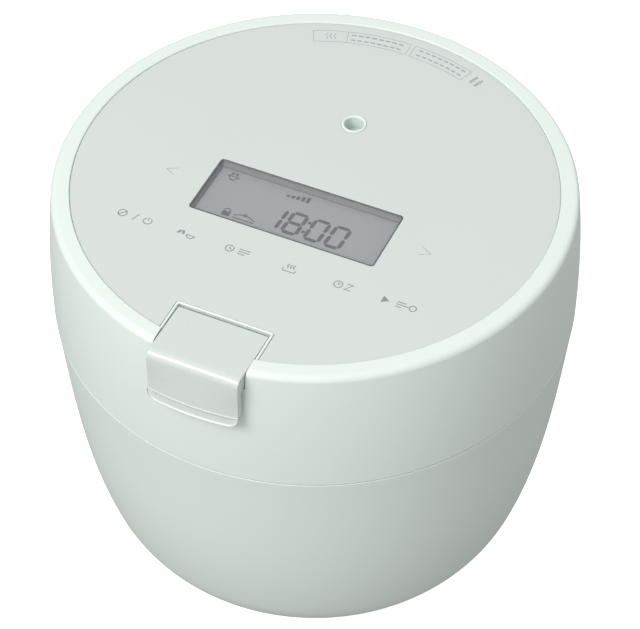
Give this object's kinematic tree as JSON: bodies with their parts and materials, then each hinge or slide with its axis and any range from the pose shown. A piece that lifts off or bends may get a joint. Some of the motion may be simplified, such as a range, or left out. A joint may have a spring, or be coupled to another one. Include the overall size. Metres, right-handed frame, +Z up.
{
  "type": "rice cooker",
  "caption": "Round pale-mint rice cooker with a hinged lid, front latch lever, printed touch keys, LCD window and steam vent; opens on an induction pot.",
  "frame": {"origin": "on the table, under the middle of the body and of the overall box", "axes": "+X to the right seen from the front, -Y towards the latch lever (the front), +Z up"},
  "size_m": [0.2362, 0.248, 0.2],
  "materials": {
    "mint_plastic": "satin moulded",
    "panel_film": "smooth satin film with printed marks",
    "pale_grey_plastic": "satin moulded",
    "key_plastic": "moulded",
    "foot_rubber": "matte",
    "dark_plastic": "fine moulded grain",
    "window_clear": "clear gloss",
    "lcd_glass": "smooth",
    "seal_rubber": "soft matte silicone",
    "steel": "plain",
    "pot_coating": "non-stick coating with fine flecks",
    "aluminium": "satin",
    "copper_wire": null,
    "ferrite": "matte sintered",
    "circuit_board": "solder mask"
  },
  "bodies": {
    "base": {"base_cover": "dark_plastic", "body_shell": "mint_plastic", "bottom_coil": "copper_wire", "catch_plate": "steel", "coil_carrier": "dark_plastic", "fan_housing": "dark_plastic", "ferrite_yoke": "ferrite", "foot_1": "foot_rubber", "foot_2": "foot_rubber", "foot_3": "foot_rubber", "foot_4": "foot_rubber", "heat_sink": "aluminium", "hinge_housing": "mint_plastic", "hinge_pin": "steel", "hinge_spring": "steel", "inlet_blade_1": "steel", "inlet_blade_2": "steel", "inlet_blade_3": "steel", "inner_pot": "pot_coating", "pot_well": "steel", "power_board": "circuit_board", "power_inlet": "dark_plastic", "sensor_spring": "steel", "side_coil": "copper_wire", "upper_frame": "mint_plastic"},
    "lid": {"lid_shell": "mint_plastic", "top_panel": "panel_film", "display_window": "window_clear", "display_bezel": "dark_plastic", "lcd_module": "lcd_glass", "control_board": "circuit_board", "vent_cup": "pale_grey_plastic", "steam_tube": "pale_grey_plastic", "steam_gasket": "seal_rubber", "valve_cage": "pale_grey_plastic", "solenoid": "steel", "lid_inner_cover": "pale_grey_plastic", "lid_heater": "aluminium", "inner_lid_plate": "aluminium", "inner_lid_gasket": "seal_rubber", "hinge_arm": "steel", "lever_pin": "steel", "lever_spring": "steel", "hook_pin": "steel", "lid_sensor": "steel"},
    "lever": {"latch_lever": "mint_plastic"},
    "hook": {"latch_hook": "steel"},
    "plunger": {"solenoid_plunger": "steel"},
    "ball": {"pressure_ball": "steel"},
    "sensor": {"temp_sensor": "aluminium"},
    "fan": {"fan_rotor": "dark_plastic"},
    "key_1": {"key_1": "key_plastic"},
    "key_2": {"key_2": "key_plastic"},
    "key_3": {"key_3": "key_plastic"},
    "key_4": {"key_4": "key_plastic"},
    "key_5": {"key_5": "key_plastic"},
    "key_6": {"key_6": "key_plastic"},
    "key_back": {"key_back": "key_plastic"},
    "key_forward": {"key_forward": "key_plastic"}
  },
  "joints": [
    {"name": "lid_hinge", "type": "hinge", "parent": "base", "child": "lid", "pos_m": [0, 0.1198, 0.132], "axis": [-1, 0, 0], "range_deg": [0, 88]},
    {"name": "lever_pull", "type": "hinge", "parent": "lid", "child": "lever", "pos_m": [0, -0.0945, 0.1953], "axis": [-1, 0, 0], "range_deg": [0, 15], "stiffness_Nm_per_rad": 0.4},
    {"name": "hook_release", "type": "hinge", "parent": "lid", "child": "hook", "pos_m": [0, -0.1055, 0.155], "axis": [1, 0, 0], "range_deg": [0, 5.25]},
    {"name": "plunger_slide", "type": "slide", "parent": "lid", "child": "plunger", "axis": [-1, 0, 0], "range_m": [0, 0.0025], "stiffness_N_per_m": 400},
    {"name": "ball_shift", "type": "slide", "parent": "lid", "child": "ball", "axis": [-0.7071, 0, 0.7071], "range_m": [0, 0.0035]},
    {"name": "sensor_press", "type": "slide", "parent": "base", "child": "sensor", "axis": [0, 0, -1], "range_m": [0, 0.003], "stiffness_N_per_m": 1500, "deforming": ["sensor_spring"]},
    {"name": "fan_spin", "type": "hinge", "parent": "base", "child": "fan", "pos_m": [-0.042, 0, 0.0135], "axis": [0, 0, 1], "continuous": true},
    {"name": "key_1_press", "type": "slide", "parent": "lid", "child": "key_1", "axis": [0, 0, -1], "range_m": [0, 0.00025], "stiffness_N_per_m": 1000},
    {"name": "key_2_press", "type": "slide", "parent": "lid", "child": "key_2", "axis": [0, 0, -1], "range_m": [0, 0.00025], "stiffness_N_per_m": 1000},
    {"name": "key_3_press", "type": "slide", "parent": "lid", "child": "key_3", "axis": [0, 0, -1], "range_m": [0, 0.00025], "stiffness_N_per_m": 1000},
    {"name": "key_4_press", "type": "slide", "parent": "lid", "child": "key_4", "axis": [0, 0, -1], "range_m": [0, 0.00025], "stiffness_N_per_m": 1000},
    {"name": "key_5_press", "type": "slide", "parent": "lid", "child": "key_5", "axis": [0, 0, -1], "range_m": [0, 0.00025], "stiffness_N_per_m": 1000},
    {"name": "key_6_press", "type": "slide", "parent": "lid", "child": "key_6", "axis": [0, 0, -1], "range_m": [0, 0.00025], "stiffness_N_per_m": 1000},
    {"name": "key_back_press", "type": "slide", "parent": "lid", "child": "key_back", "axis": [0, 0, -1], "range_m": [0, 0.00025], "stiffness_N_per_m": 1000},
    {"name": "key_forward_press", "type": "slide", "parent": "lid", "child": "key_forward", "axis": [0, 0, -1], "range_m": [0, 0.00025], "stiffness_N_per_m": 1000}
  ],
  "couplings": [
    {"joint": "hook_release", "follows": "lever_pull", "ratio": 0.35},
    {"joint": "ball_shift", "follows": "plunger_slide", "ratio": 1.4}
  ]
}
